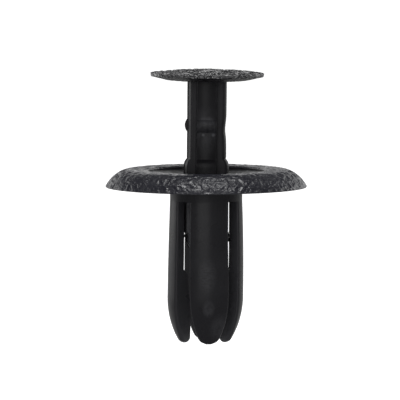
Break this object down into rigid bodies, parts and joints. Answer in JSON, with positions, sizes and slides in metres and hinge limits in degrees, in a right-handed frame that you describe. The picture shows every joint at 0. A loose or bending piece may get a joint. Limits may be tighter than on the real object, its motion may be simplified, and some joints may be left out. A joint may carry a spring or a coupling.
{
  "type": "fender liner clip",
  "caption": "Two-piece push rivet: a crowned flange on a split four-leg shank, with a cross-shaped push pin under a wide domed head that slides in to spread the legs.",
  "frame": {"origin": "on the rivet's axis, in the plane of the flange's rim, where the flange seats on the panel or liner", "axes": "+Z along the axis towards the push pin's head, and the legs run down -Z; +X points to the push pin's arm that carries the barb"},
  "size_m": [0.0173, 0.0172, 0.0236],
  "materials": {
    "grommet_plastic": "black moulded nylon, leather grain on the flange, satin legs",
    "pin_plastic": "black moulded nylon, leather grain on the head, satin shank"
  },
  "bodies": {
    "grommet": {"grommet": "grommet_plastic"},
    "pin": {"push_pin": "pin_plastic"}
  },
  "joints": [
    {"name": "pin_push", "type": "slide", "parent": "grommet", "child": "pin", "axis": [0, 0, -1], "range_m": [0, 0.0082], "deforming": ["grommet"]}
  ]
}
